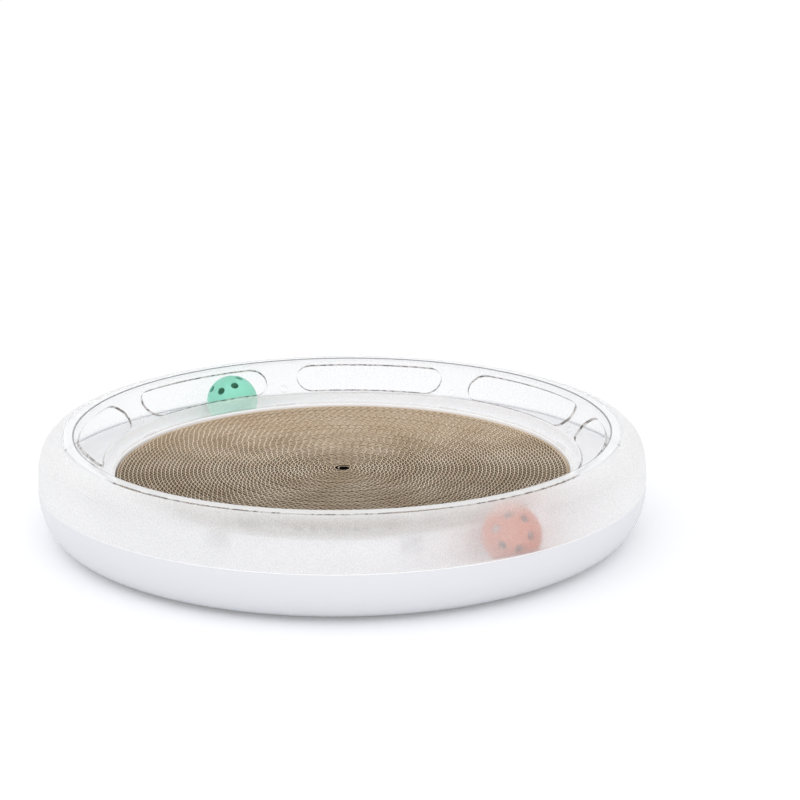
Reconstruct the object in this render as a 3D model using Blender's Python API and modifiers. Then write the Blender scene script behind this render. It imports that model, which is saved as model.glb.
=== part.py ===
"""Round cat scratcher with a ball track.

A white base shell carries a white track tray. The tray holds a wound corrugated
cardboard pad in the middle and forms the floor of a ring-shaped ball track. A clear
cover closes the track, apart from eight long windows that a paw reaches through. Its
flange rests on the divider wall between pad and track, and its rim on the base shell.
Two hollow balls, each with a small bell inside, roll in the track.

All sizes are in metres. Heights are above the surface that the feet stand on, and
radii are measured from the upright centre axis.
"""

import math

import bmesh
import bpy
from mathutils import Euler, Matrix, Vector

OBJECT_NAME = "cat_scratcher_with_ball_track"

# Clearance between two pieces that rest on or in each other.
GAP = 0.0003
MERGE = 0.00001
SEGMENTS = 60
SHARP_ANGLE = math.radians(35.0)

# Base shell.
UNDERSIDE_HEIGHT = 0.0030
BASE_WALL = 0.0025
BASE_BELLY = 0.0240
BELLY_STEPS = 6
BELLY_INSIDE_STEPS = 5
PANEL_RISE = 0.0020
PANEL_SLOPE = 0.0040
PANEL_INSET = 0.0120
PAD_RIB_INSET = 0.0112
TRACK_RIB_OFFSET = 0.0278
RIB_THICKNESS = 0.0020
SEAM_RISE = 0.0150
RIM_INSET = 0.0030

# Track tray: a recess for the pad, a divider wall round it, and the track.
TRAY_WALL = 0.0020
PAD_FLOOR_RISE = 0.0102
PAD_CLEARANCE = 0.0015
DIVIDER_THICKNESS = 0.0025
DIVIDER_DRAFT = 0.0006
DIVIDER_FILLET = 0.0024
DIVIDER_RISE = 0.0020
DIVIDER_DEPTH = 0.0207
EDGE_CHAMFER = 0.0007
TRACK_WIDTH = 0.0518
TRACK_FILLET = 0.0120
TRACK_FILLET_STEPS = 4
RIM_DROP = 0.0015

# Wound cardboard pad.
PAD_RADIUS = 0.1712
PAD_HEIGHT = 0.0302
PAD_TURNS = 12
PAD_STRIP_END = 0.0030
PAD_END_ANGLE = math.radians(-130.0)
PAD_TURN_GAP = 0.0009
PAD_CORE_RADIUS = 0.0070
PAD_CHORD_HEIGHT = 0.0003

# Clear cover.
COVER_WALL = 0.0020
COVER_BELLY = 0.0240
COVER_HEADROOM = 0.0073
COVER_CROWN_POWER = 2.8
CROWN_START = 84
CROWN_STEPS = 8
CROWN_INSIDE_STEPS = 6
LIP_INSET = 0.0207
LIP_WIDTH = 0.0066
LIP_RISE = 0.0006
FLANGE_EDGE_GAP = 0.0005
FLANGE_THICKNESS = 0.0020
FOOT_WALL_OFFSET = 0.0048
FOOT_WALL_RISE = 0.0060
BEND_SHARE = 0.4

# Windows, posts and clips of the cover.
WINDOW_COUNT = 8
FIRST_POST_ANGLE = math.radians(15.5)
POST_HALF_ANGLE = math.radians(4.0)
WINDOW_SILL = 0.0015
WINDOW_HEAD = 0.0055
WINDOW_END_STEPS = 6
WINDOW_SIDE_STEPS = 4
CUT_REACH = 0.0050
POST_HOLE_RADIUS = 0.0032
POST_HOLE_RISE = 0.0050
POST_HOLE_SIDES = 12
CLIP_WIDTH = 0.0160
CLIP_THICKNESS = 0.0018
CLIP_DEPTH = 0.0120
CLIP_CLEARANCE = 0.0008

# Anti-slip feet.
FOOT_COUNT = 8
FOOT_RING_OFFSET = 0.0088
FOOT_RADIUS = 0.0080
FOOT_POCKET = 0.0015
FOOT_BEVEL = 0.0006
FOOT_SIDES = 14

# Balls and their bells. A wider track takes larger balls.
BALL_TRACK_SHARE = 0.25
BALL_BASE_RADIUS = 0.00805
BALL_SIDE_PLAY = 0.0013
BALL_WALL = 0.0016
BALL_SEGMENTS = 20
BALL_ARC_STEPS = 5
BALL_LAP_DEPTH = 0.0009
BALL_HOLE_COUNT = 6
BALL_HOLE_RADIUS = 0.0032
BALL_HOLE_SIDES = 10
BALL_HOLE_POLAR_ANGLE = math.radians(36.0)
BALL_HOLE_FIRST_ANGLE = math.radians(10.0)
BELL_RADIUS = 0.0080
BELL_CLEARANCE = 0.0008
BELL_WALL = 0.0007
BELL_SEGMENTS = 12
BELL_SLOT_WIDTH = 0.0016
PELLET_RADIUS = 0.0022

GREEN_BALL_ANGLE = math.radians(116.8)
GREEN_BALL_TURN = (math.radians(11.0), math.radians(-18.0), 0.0)
PINK_BALL_ANGLE = math.radians(-55.6)
PINK_BALL_TURN = (math.radians(58.0), math.radians(-34.0), math.radians(20.0))

# Radii, each worked out from the pad's radius outwards.
RECESS_RADIUS = PAD_RADIUS + PAD_CLEARANCE
DIVIDER_RADIUS = RECESS_RADIUS + DIVIDER_THICKNESS
TRAY_RIM_RADIUS = DIVIDER_RADIUS + TRACK_WIDTH
SEAM_RADIUS = TRAY_RIM_RADIUS + RIM_INSET
STAND_RADIUS = SEAM_RADIUS - BASE_BELLY
PAD_RIB_RADIUS = PAD_RADIUS - PAD_RIB_INSET
PANEL_RADIUS = PAD_RIB_RADIUS - PANEL_INSET
TRACK_RIB_RADIUS = DIVIDER_RADIUS + TRACK_RIB_OFFSET
FOOT_RING_RADIUS = PAD_RADIUS + FOOT_RING_OFFSET
COVER_CROWN_RADIUS = SEAM_RADIUS - COVER_BELLY
LIP_OUTER_RADIUS = SEAM_RADIUS - LIP_INSET
LIP_INNER_RADIUS = LIP_OUTER_RADIUS - LIP_WIDTH
FLANGE_INNER_RADIUS = RECESS_RADIUS + FLANGE_EDGE_GAP
FOOT_WALL_RADIUS = DIVIDER_RADIUS + FOOT_WALL_OFFSET
CLIP_INNER_RADIUS = DIVIDER_RADIUS + CLIP_CLEARANCE
BALL_RADIUS = BALL_BASE_RADIUS + TRACK_WIDTH * BALL_TRACK_SHARE
BALL_TRACK_RADIUS = TRAY_RIM_RADIUS - BALL_SIDE_PLAY - BALL_RADIUS
WINDOW_STEP = 2 * math.pi / WINDOW_COUNT

# Heights, each worked out from the base's underside upwards.
PLATE_TOP = UNDERSIDE_HEIGHT + BASE_WALL
PAD_FLOOR_HEIGHT = UNDERSIDE_HEIGHT + PAD_FLOOR_RISE
PAD_TOP_HEIGHT = PAD_FLOOR_HEIGHT + GAP + PAD_HEIGHT
DIVIDER_HEIGHT = PAD_TOP_HEIGHT + DIVIDER_RISE
TRACK_FLOOR_HEIGHT = DIVIDER_HEIGHT - DIVIDER_DEPTH
SEAM_HEIGHT = TRACK_FLOOR_HEIGHT + SEAM_RISE
TRAY_RIM_HEIGHT = SEAM_HEIGHT - RIM_DROP
COVER_EDGE_HEIGHT = SEAM_HEIGHT + GAP
FLANGE_HEIGHT = DIVIDER_HEIGHT + GAP
FOOT_WALL_TOP = FLANGE_HEIGHT + FLANGE_THICKNESS + FOOT_WALL_RISE
BALL_HEIGHT = TRACK_FLOOR_HEIGHT + GAP + BALL_RADIUS
COVER_CROWN_HEIGHT = BALL_HEIGHT + BALL_RADIUS + COVER_HEADROOM + COVER_WALL
LIP_HEIGHT = COVER_CROWN_HEIGHT + LIP_RISE


def clear_scene():
    """Remove every object that the scene holds."""
    for obj in list(bpy.data.objects):
        bpy.data.objects.remove(obj, do_unlink=True)


def make_collection(name):
    """Return a new collection linked to the scene."""
    collection = bpy.data.collections.new(name)
    bpy.context.scene.collection.children.link(collection)
    return collection


def make_material(name, colour, roughness, metallic=0.0, alpha=1.0):
    """Return a Principled material."""
    material = bpy.data.materials.new(name)
    material.use_nodes = True
    shader = material.node_tree.nodes["Principled BSDF"]
    shader.inputs["Base Color"].default_value = (*colour, 1.0)
    shader.inputs["Roughness"].default_value = roughness
    shader.inputs["Metallic"].default_value = metallic
    shader.inputs["Alpha"].default_value = alpha
    material.diffuse_color = (*colour, alpha)
    return material


def add_object(name, mesh, collection, material=None):
    """Link a mesh as a named object."""
    obj = bpy.data.objects.new(name, mesh)
    collection.objects.link(obj)
    if material:
        mesh.materials.append(material)
    return obj


def add_cutter(name, mesh, collection):
    """Link a mesh as a guide or cutter that isn't part of the object."""
    cutter = add_object(name, mesh, collection)
    cutter.hide_render = True
    cutter.display_type = "WIRE"
    return cutter


def add_boolean(obj, cutter, operation):
    """Cut or join an object with another one."""
    modifier = obj.modifiers.new(cutter.name, "BOOLEAN")
    modifier.object = cutter
    modifier.operation = operation
    modifier.solver = "EXACT"


def profile_mesh(name, points, closed):
    """Return a mesh that holds a profile of (radius, height) points in the XZ plane."""
    mesh = bpy.data.meshes.new(name)
    edges = [(i, i + 1) for i in range(len(points) - 1)]
    if closed:
        edges.append((len(points) - 1, 0))
    mesh.from_pydata([(r, 0.0, z) for r, z in points], edges, [])
    return mesh


def add_turned(name, points, closed, collection, material, segments):
    """Turn a profile round the Z axis. Its outer side runs from top to bottom."""
    obj = add_object(name, profile_mesh(name, points, closed), collection, material)
    screw = obj.modifiers.new("turn", "SCREW")
    screw.axis = "Z"
    screw.steps = segments
    screw.render_steps = segments
    screw.use_merge_vertices = True
    screw.merge_threshold = MERGE
    screw.use_smooth_shade = True
    return obj


def arc(centre_r, centre_z, radius_r, radius_z, start, end, steps, power=2.0):
    """Return points of an elliptical or superelliptical arc, angles in degrees."""
    points = []
    for i in range(steps + 1):
        angle = math.radians(start + (end - start) * i / steps)
        c, s = math.cos(angle), math.sin(angle)
        r = centre_r + radius_r * math.copysign(abs(c) ** (2 / power), c)
        z = centre_z + radius_z * math.copysign(abs(s) ** (2 / power), s)
        points.append((r, z))
    return points


def turned_copies(source, count, first_angle):
    """Return one mesh with copies of a mesh, spread evenly round the Z axis."""
    joined = bmesh.new()
    for i in range(count):
        piece = source.copy()
        piece.transform(Matrix.Rotation(first_angle + i * 2 * math.pi / count, 4, "Z"))
        joined.from_mesh(piece)
        bpy.data.meshes.remove(piece)
    mesh = bpy.data.meshes.new(source.name + "_ring")
    joined.to_mesh(mesh)
    joined.free()
    return mesh


def extruded_outline(name, outline, half_width):
    """Return a mesh: a flat outline of (x, y) points, extruded both ways along Z."""
    curve = bpy.data.curves.new(name, "CURVE")
    curve.dimensions = "2D"
    curve.fill_mode = "BOTH"
    curve.extrude = half_width
    spline = curve.splines.new("POLY")
    spline.points.add(len(outline) - 1)
    for point, (x, y) in zip(spline.points, outline):
        point.co = (x, y, 0.0, 1.0)
    spline.use_cyclic_u = True
    guide = bpy.data.objects.new(name, curve)
    bpy.context.scene.collection.objects.link(guide)
    depsgraph = bpy.context.evaluated_depsgraph_get()
    mesh = bpy.data.meshes.new_from_object(guide.evaluated_get(depsgraph))
    bpy.data.objects.remove(guide, do_unlink=True)
    bpy.data.curves.remove(curve)
    shape = bmesh.new()
    shape.from_mesh(mesh)
    bmesh.ops.remove_doubles(shape, verts=shape.verts, dist=MERGE)
    bmesh.ops.recalc_face_normals(shape, faces=shape.faces)
    shape.to_mesh(mesh)
    shape.free()
    return mesh


def cylinder_mesh(name, radius, length, sides):
    """Return a cylinder along Z, centred on the origin."""
    mesh = bpy.data.meshes.new(name)
    shape = bmesh.new()
    bmesh.ops.create_cone(
        shape, cap_ends=True, segments=sides, radius1=radius, radius2=radius, depth=length
    )
    shape.to_mesh(mesh)
    shape.free()
    return mesh


def box_mesh(name, size_x, size_y, size_z):
    """Return a box centred on the origin."""
    mesh = bpy.data.meshes.new(name)
    shape = bmesh.new()
    bmesh.ops.create_cube(shape, size=1.0, matrix=Matrix.Diagonal((size_x, size_y, size_z, 1.0)))
    shape.to_mesh(mesh)
    shape.free()
    return mesh


def build_base_shell(parts, cutters, material):
    """Bowl-shaped lower shell: a bellied wall, a bottom plate, two ribs that carry the tray."""
    drop = SEAM_HEIGHT - UNDERSIDE_HEIGHT
    panel_top = PLATE_TOP + PANEL_RISE
    pad_rib_top = PAD_FLOOR_HEIGHT - TRAY_WALL - GAP
    track_rib_top = TRACK_FLOOR_HEIGHT - TRAY_WALL - GAP
    inside = [
        (0.0, panel_top),
        (PANEL_RADIUS - PANEL_SLOPE, panel_top),
        (PANEL_RADIUS, PLATE_TOP),
        (PAD_RIB_RADIUS, PLATE_TOP),
        (PAD_RIB_RADIUS, pad_rib_top),
        (PAD_RIB_RADIUS + RIB_THICKNESS, pad_rib_top),
        (PAD_RIB_RADIUS + RIB_THICKNESS, PLATE_TOP),
        (TRACK_RIB_RADIUS, PLATE_TOP),
        (TRACK_RIB_RADIUS, track_rib_top),
        (TRACK_RIB_RADIUS + RIB_THICKNESS, track_rib_top),
        (TRACK_RIB_RADIUS + RIB_THICKNESS, PLATE_TOP),
    ]
    inner_wall = arc(
        STAND_RADIUS, SEAM_HEIGHT, BASE_BELLY - BASE_WALL, drop - BASE_WALL, -90, 0,
        BELLY_INSIDE_STEPS,
    )
    outer_wall = arc(STAND_RADIUS, SEAM_HEIGHT, BASE_BELLY, drop, 0, -90, BELLY_STEPS)
    below = [
        (PANEL_RADIUS, UNDERSIDE_HEIGHT),
        (PANEL_RADIUS - PANEL_SLOPE, UNDERSIDE_HEIGHT + PANEL_RISE),
        (0.0, UNDERSIDE_HEIGHT + PANEL_RISE),
    ]
    profile = inside + inner_wall + outer_wall + below
    shell = add_turned("base_shell", profile, False, parts, material, SEGMENTS)

    depth = 2 * FOOT_POCKET
    pocket = cylinder_mesh("foot_pocket", FOOT_RADIUS + GAP, depth, FOOT_SIDES)
    pocket.transform(Matrix.Translation((FOOT_RING_RADIUS, 0.0, UNDERSIDE_HEIGHT)))
    pockets = add_cutter("foot_pockets", turned_copies(pocket, FOOT_COUNT, FIRST_POST_ANGLE), cutters)
    add_boolean(shell, pockets, "DIFFERENCE")
    return shell


def build_feet(parts, material):
    """Round anti-slip feet, each set in its pocket in the bottom plate."""
    height = UNDERSIDE_HEIGHT + FOOT_POCKET - GAP
    mesh = cylinder_mesh("foot", FOOT_RADIUS, height, FOOT_SIDES)
    mesh.materials.append(material)
    for i in range(FOOT_COUNT):
        angle = FIRST_POST_ANGLE + i * 2 * math.pi / FOOT_COUNT
        foot = bpy.data.objects.new(f"foot_{i + 1}", mesh)
        parts.objects.link(foot)
        foot.location = (
            FOOT_RING_RADIUS * math.cos(angle),
            FOOT_RING_RADIUS * math.sin(angle),
            height / 2,
        )
        foot.rotation_euler.z = angle
        bevel = foot.modifiers.new("edge", "BEVEL")
        bevel.width = FOOT_BEVEL
        bevel.segments = 1
        bevel.limit_method = "ANGLE"


def build_track_tray(parts, material):
    """One moulding: pad recess, divider wall and the floor of the ball track."""
    fillet_centre_r = TRAY_RIM_RADIUS - TRAY_WALL - TRACK_FILLET
    fillet_centre_z = TRACK_FLOOR_HEIGHT + TRACK_FILLET
    divider_foot = DIVIDER_RADIUS + DIVIDER_DRAFT
    track_under = TRACK_FLOOR_HEIGHT - TRAY_WALL
    top = [
        (0.0, PAD_FLOOR_HEIGHT),
        (RECESS_RADIUS, PAD_FLOOR_HEIGHT),
        (RECESS_RADIUS, DIVIDER_HEIGHT - EDGE_CHAMFER),
        (RECESS_RADIUS + EDGE_CHAMFER, DIVIDER_HEIGHT),
        (DIVIDER_RADIUS - EDGE_CHAMFER, DIVIDER_HEIGHT),
        (DIVIDER_RADIUS, DIVIDER_HEIGHT - EDGE_CHAMFER),
        (divider_foot, TRACK_FLOOR_HEIGHT + DIVIDER_FILLET),
        (divider_foot + DIVIDER_FILLET, TRACK_FLOOR_HEIGHT),
    ]
    steps = TRACK_FILLET_STEPS
    track_side = arc(fillet_centre_r, fillet_centre_z, TRACK_FILLET, TRACK_FILLET, -90, 0, steps)
    rim = [
        (TRAY_RIM_RADIUS - TRAY_WALL, TRAY_RIM_HEIGHT),
        (TRAY_RIM_RADIUS, TRAY_RIM_HEIGHT),
    ]
    outer = TRACK_FILLET + TRAY_WALL
    outside = arc(fillet_centre_r, fillet_centre_z, outer, outer, 0, -90, steps)
    below = [
        (divider_foot, track_under),
        (DIVIDER_RADIUS, PAD_FLOOR_HEIGHT - TRAY_WALL),
        (0.0, PAD_FLOOR_HEIGHT - TRAY_WALL),
    ]
    profile = top + track_side + rim + outside + below
    return add_turned("track_tray", profile, False, parts, material, SEGMENTS)


def cover_slope():
    """Return start radius, start height, length and angle of the cover's sloped wall."""
    run = LIP_INNER_RADIUS - FOOT_WALL_RADIUS
    rise = LIP_HEIGHT - COVER_WALL / 2 - FOOT_WALL_TOP
    return FOOT_WALL_RADIUS, FOOT_WALL_TOP, math.hypot(run, rise), math.atan2(rise, run)


def window_mesh():
    """Return the cutter of one window: a long round-ended slot wrapped on the sloped wall."""
    start_r, start_z, length, slope = cover_slope()
    low, high = WINDOW_SILL, length - WINDOW_HEAD
    middle, end_radius = (low + high) / 2, (high - low) / 2
    middle_radius = start_r + middle * math.cos(slope)
    half_length = middle_radius * (WINDOW_STEP / 2 - POST_HALF_ANGLE)
    straight = half_length - end_radius

    outline = []
    for side in (1, -1):
        for i in range(WINDOW_END_STEPS + 1):
            turn = math.pi * i / WINDOW_END_STEPS - math.pi / 2
            along = side * (straight + end_radius * math.cos(turn))
            outline.append((along, middle + side * end_radius * math.sin(turn)))
        for i in range(1, WINDOW_SIDE_STEPS):
            along = side * straight * (1 - 2 * i / WINDOW_SIDE_STEPS)
            outline.append((along, middle + side * end_radius))

    shape = bmesh.new()
    rings = []
    for reach in (-CUT_REACH, CUT_REACH):
        ring = []
        for along, up in outline + [(0.0, middle)]:
            angle = WINDOW_STEP / 2 + along / middle_radius
            r = start_r + up * math.cos(slope) - reach * math.sin(slope)
            z = start_z + up * math.sin(slope) + reach * math.cos(slope)
            ring.append(shape.verts.new((r * math.cos(angle), r * math.sin(angle), z)))
        rings.append(ring)
    lower, upper = rings
    count = len(outline)
    for i in range(count):
        j = (i + 1) % count
        shape.faces.new((lower[i], lower[j], upper[j], upper[i]))
        shape.faces.new((lower[j], lower[i], lower[count]))
        shape.faces.new((upper[i], upper[j], upper[count]))
    bmesh.ops.recalc_face_normals(shape, faces=shape.faces)
    mesh = bpy.data.meshes.new("window")
    shape.to_mesh(mesh)
    shape.free()
    return mesh


def post_hole_mesh():
    """Return the cutter of the round hole near the foot of one post."""
    start_r, start_z, _, slope = cover_slope()
    hole = cylinder_mesh("post_hole", POST_HOLE_RADIUS, 2 * CUT_REACH, POST_HOLE_SIDES)
    hole.transform(Matrix.Rotation(-slope, 4, "Y"))
    rise = POST_HOLE_RISE
    place = (start_r + rise * math.cos(slope), 0.0, start_z + rise * math.sin(slope))
    hole.transform(Matrix.Translation(place))
    return hole


def clip_mesh():
    """Return one clip: a tongue that drops from the flange, just outside the divider wall."""
    high = FLANGE_HEIGHT + FLANGE_THICKNESS / 2
    low = FLANGE_HEIGHT - CLIP_DEPTH
    clip = box_mesh("clip", CLIP_THICKNESS, CLIP_WIDTH, high - low)
    middle = CLIP_INNER_RADIUS + CLIP_THICKNESS / 2
    clip.transform(Matrix.Translation((middle, 0.0, (high + low) / 2)))
    return clip


def build_track_cover(parts, cutters, material):
    """Clear ring-shaped tunnel: crown, lip, sloped wall with windows, foot flange and clips."""
    half = COVER_WALL / 2
    crown_z = COVER_CROWN_HEIGHT - COVER_EDGE_HEIGHT
    lip = [
        (LIP_INNER_RADIUS - half, LIP_HEIGHT - half),
        (LIP_INNER_RADIUS, LIP_HEIGHT),
        (LIP_OUTER_RADIUS, LIP_HEIGHT),
    ]
    crown = arc(
        COVER_CROWN_RADIUS, COVER_EDGE_HEIGHT, COVER_BELLY, crown_z,
        CROWN_START, 0, CROWN_STEPS, COVER_CROWN_POWER,
    )
    crown_inside = arc(
        COVER_CROWN_RADIUS, COVER_EDGE_HEIGHT, COVER_BELLY - COVER_WALL, crown_z - COVER_WALL,
        0, CROWN_START, CROWN_INSIDE_STEPS, COVER_CROWN_POWER,
    )
    bend = BEND_SHARE * half
    flange_top = FLANGE_HEIGHT + FLANGE_THICKNESS
    foot = [
        (FOOT_WALL_RADIUS + half, FOOT_WALL_TOP - bend),
        (FOOT_WALL_RADIUS + half, FLANGE_HEIGHT),
        (FLANGE_INNER_RADIUS, FLANGE_HEIGHT),
        (FLANGE_INNER_RADIUS, flange_top),
        (FOOT_WALL_RADIUS - half, flange_top),
        (FOOT_WALL_RADIUS - half, FOOT_WALL_TOP + bend),
    ]
    under_lip = [(LIP_INNER_RADIUS + half, COVER_CROWN_HEIGHT - COVER_WALL)]
    profile = lip + crown + crown_inside + under_lip + foot
    cover = add_turned("track_cover", profile, True, parts, material, SEGMENTS)

    clips = turned_copies(clip_mesh(), WINDOW_COUNT, FIRST_POST_ANGLE)
    add_boolean(cover, add_cutter("clips", clips, cutters), "UNION")
    windows = turned_copies(window_mesh(), WINDOW_COUNT, FIRST_POST_ANGLE)
    add_boolean(cover, add_cutter("windows", windows, cutters), "DIFFERENCE")
    holes = turned_copies(post_hole_mesh(), WINDOW_COUNT, FIRST_POST_ANGLE)
    add_boolean(cover, add_cutter("post_holes", holes, cutters), "DIFFERENCE")
    return cover


def pad_spiral():
    """Return the outer and inner edges of the wound strip, as lists of (radius, angle).

    One strip is wound from the rim to the core. The turn gap follows a spiral that loses
    one turn's thickness each round, and the rim itself stays round.
    """
    pitch = (PAD_RADIUS - PAD_CORE_RADIUS) / PAD_TURNS
    last = 2 * math.pi * PAD_TURNS
    angle = 2 * math.pi * PAD_STRIP_END / pitch
    outer, inner = [], []
    while angle < last:
        groove = PAD_RADIUS - pitch * angle / (2 * math.pi)
        inner.append((groove + PAD_TURN_GAP / 2, angle))
        if angle <= 2 * math.pi:
            outer.append((PAD_RADIUS, angle))
        else:
            outer.append((groove + pitch - PAD_TURN_GAP / 2, angle))
        angle += math.sqrt(8 * PAD_CHORD_HEIGHT / max(groove, PAD_CORE_RADIUS + pitch))
    return outer, inner


def flat_points(edge):
    """Return the (x, y) points of a list of (radius, angle)."""
    return [(r * math.cos(a), r * math.sin(a)) for r, a in edge]


def least_turn_gap(outer, inner):
    """Return the least distance between one turn's inner edge and the next turn."""
    next_turn = [Vector(p) for p, (_, a) in zip(flat_points(outer), outer) if a > 2 * math.pi]
    least = PAD_RADIUS
    for point in (Vector(p) for p in flat_points(inner)):
        for start, end in zip(next_turn, next_turn[1:]):
            if (start - point).length > 4 * PAD_TURN_GAP + (end - start).length:
                continue
            run = end - start
            share = min(1.0, max(0.0, (point - start).dot(run) / run.length_squared))
            gap = (point - start - run * share).length
            least = min(least, gap)
    return least


def build_scratch_pad(parts, material):
    """Round pad: one corrugated strip wound flat, standing on the recess floor."""
    bottom = PAD_FLOOR_HEIGHT + GAP
    outer, inner = pad_spiral()
    print("least gap between turns, mm:", round(least_turn_gap(outer, inner) * 1000, 3))
    outline = flat_points(outer) + flat_points(inner)[::-1]
    mesh = extruded_outline("scratch_pad", outline, (PAD_TOP_HEIGHT - bottom) / 2)
    pad = add_object("scratch_pad", mesh, parts, material)
    pad.location.z = (PAD_TOP_HEIGHT + bottom) / 2
    pad.rotation_euler.z = PAD_END_ANGLE
    return pad


def half_ball_profiles():
    """Return the profiles of the two half shells, each with its pole upwards."""
    inner_radius = BALL_RADIUS - BALL_WALL
    step = inner_radius + BALL_WALL / 2
    edge = GAP / 2
    steps = BALL_ARC_STEPS
    outer = arc(0.0, 0.0, BALL_RADIUS, BALL_RADIUS, 90, 0, steps)[:-1]
    outer.append((BALL_RADIUS, edge))
    inner = arc(0.0, 0.0, inner_radius, inner_radius, 0, 90, steps)[1:]
    with_lip = outer + [
        (step - edge, edge),
        (step - edge, -BALL_LAP_DEPTH),
        (inner_radius, -BALL_LAP_DEPTH),
        (inner_radius, edge),
    ] + inner
    rebate = BALL_LAP_DEPTH + GAP
    with_rebate = outer + [(step + edge, edge), (step + edge, rebate), (inner_radius, rebate)] + inner
    clean = [(0.0 if r < MERGE else r, z) for r, z in with_lip]
    clean_rebate = [(0.0 if r < MERGE else r, z) for r, z in with_rebate]
    return clean, clean_rebate


def ball_hole_mesh():
    """Return the cutter of the round holes in one half shell."""
    hole = cylinder_mesh("ball_hole", BALL_HOLE_RADIUS, BALL_RADIUS, BALL_HOLE_SIDES)
    hole.transform(Matrix.Translation((0.0, 0.0, BALL_RADIUS)))
    hole.transform(Matrix.Rotation(BALL_HOLE_POLAR_ANGLE, 4, "Y"))
    return turned_copies(hole, BALL_HOLE_COUNT, BALL_HOLE_FIRST_ANGLE)


def build_bell(colour, parts, cutters, bell_material, pellet_material, orbit, place):
    """Small slotted bell with its pellet, lying on the inside of the ball."""
    steps = BELL_SEGMENTS // 2
    inner_radius = BELL_RADIUS - BELL_WALL
    outside = arc(0.0, 0.0, BELL_RADIUS, BELL_RADIUS, 90, -90, steps)
    inside = arc(0.0, 0.0, inner_radius, inner_radius, -90, 90, steps)
    mesh = bpy.data.meshes.new(f"{colour}_bell")
    points, edges = [], []
    for profile in (outside, inside):
        first = len(points)
        points += [(0.0 if abs(r) < MERGE else r, 0.0, z) for r, z in profile]
        edges += [(first + i, first + i + 1) for i in range(len(profile) - 1)]
    mesh.from_pydata(points, edges, [])
    bell = add_object(f"{colour}_bell", mesh, parts, bell_material)
    screw = bell.modifiers.new("turn", "SCREW")
    screw.axis = "Z"
    screw.steps = BELL_SEGMENTS
    screw.render_steps = BELL_SEGMENTS
    screw.use_merge_vertices = True
    screw.merge_threshold = MERGE
    drop = BALL_RADIUS - BALL_WALL - BELL_RADIUS - BELL_CLEARANCE
    bell.parent = orbit
    bell.location = place - Vector((0.0, 0.0, drop))

    slot = box_mesh(f"{colour}_bell_slot", 4 * BELL_RADIUS, BELL_SLOT_WIDTH, BELL_RADIUS)
    slot.transform(Matrix.Translation((0.0, 0.0, BELL_RADIUS)))
    cutter = add_cutter(f"{colour}_bell_slot", slot, cutters)
    cutter.parent = bell
    add_boolean(bell, cutter, "DIFFERENCE")

    pellet_mesh = bpy.data.meshes.new(f"{colour}_bell_pellet")
    shape = bmesh.new()
    bmesh.ops.create_uvsphere(shape, u_segments=8, v_segments=6, radius=PELLET_RADIUS)
    shape.to_mesh(pellet_mesh)
    shape.free()
    pellet = add_object(f"{colour}_bell_pellet", pellet_mesh, parts, pellet_material)
    pellet.parent = bell
    pellet.location.z = -(inner_radius - PELLET_RADIUS - GAP)


def build_ball(colour, angle, turn, parts, cutters, material, bell_material, pellet_material):
    """Hollow ball of two half shells. It travels round the track and rolls about its radius."""
    orbit = bpy.data.objects.new(f"{colour}_ball_travel", None)
    parts.objects.link(orbit)
    place = Vector(
        (BALL_TRACK_RADIUS * math.cos(angle), BALL_TRACK_RADIUS * math.sin(angle), BALL_HEIGHT)
    )
    roll = bpy.data.objects.new(f"{colour}_ball_roll", None)
    parts.objects.link(roll)
    roll.parent = orbit
    roll.location = place
    roll.rotation_euler = Euler(turn)
    with_lip, with_rebate = half_ball_profiles()
    halves = (("upper", with_lip, 0.0), ("lower", with_rebate, math.pi))
    for name, profile, flip in halves:
        half = add_turned(
            f"{colour}_ball_{name}", profile, False, parts, material, BALL_SEGMENTS
        )
        half.parent = roll
        half.rotation_euler.x = flip
        cutter = add_cutter(f"{colour}_{name}_holes", ball_hole_mesh(), cutters)
        cutter.parent = half
        add_boolean(half, cutter, "DIFFERENCE")
    build_bell(colour, parts, cutters, bell_material, pellet_material, orbit, place)


def shade_pieces(parts):
    """Shade flat-sided meshes smooth, apart from their edges."""
    for obj in parts.objects:
        if obj.type == "MESH" and obj.data.polygons:
            obj.data.shade_smooth()
            obj.data.set_sharp_from_angle(angle=SHARP_ANGLE)


def main():
    """Build every piece of the scratcher."""
    clear_scene()
    parts = make_collection(OBJECT_NAME)
    cutters = make_collection("cutters")

    white = make_material("white_abs", (0.86, 0.87, 0.89), 0.25)
    tray_white = make_material("white_abs_tray", (0.88, 0.88, 0.88), 0.3)
    clear = make_material("clear_polystyrene", (0.93, 0.95, 0.96), 0.05, alpha=0.25)
    kraft = make_material("kraft_corrugated_board", (0.42, 0.30, 0.19), 0.9)
    rubber = make_material("grey_rubber", (0.25, 0.25, 0.26), 0.8)
    green = make_material("mint_plastic", (0.25, 0.68, 0.52), 0.35)
    pink = make_material("coral_plastic", (0.80, 0.35, 0.25), 0.35)
    brass = make_material("bell_brass", (0.76, 0.60, 0.30), 0.3, metallic=1.0)
    steel = make_material("pellet_steel", (0.6, 0.6, 0.6), 0.3, metallic=1.0)

    build_base_shell(parts, cutters, white)
    build_feet(parts, rubber)
    build_track_tray(parts, tray_white)
    build_scratch_pad(parts, kraft)
    build_track_cover(parts, cutters, clear)
    build_ball("green", GREEN_BALL_ANGLE, GREEN_BALL_TURN, parts, cutters, green, brass, steel)
    build_ball("pink", PINK_BALL_ANGLE, PINK_BALL_TURN, parts, cutters, pink, brass, steel)
    shade_pieces(parts)


if __name__ == "__main__":
    main()
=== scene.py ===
import logging
import math
from dataclasses import dataclass
from enum import Enum

import bmesh
import bpy
import numpy as np
from bpy.types import Material, Mesh, Node, NodeSocket, NodeTree, Object
from mathutils import Euler, Matrix, Vector


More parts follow.
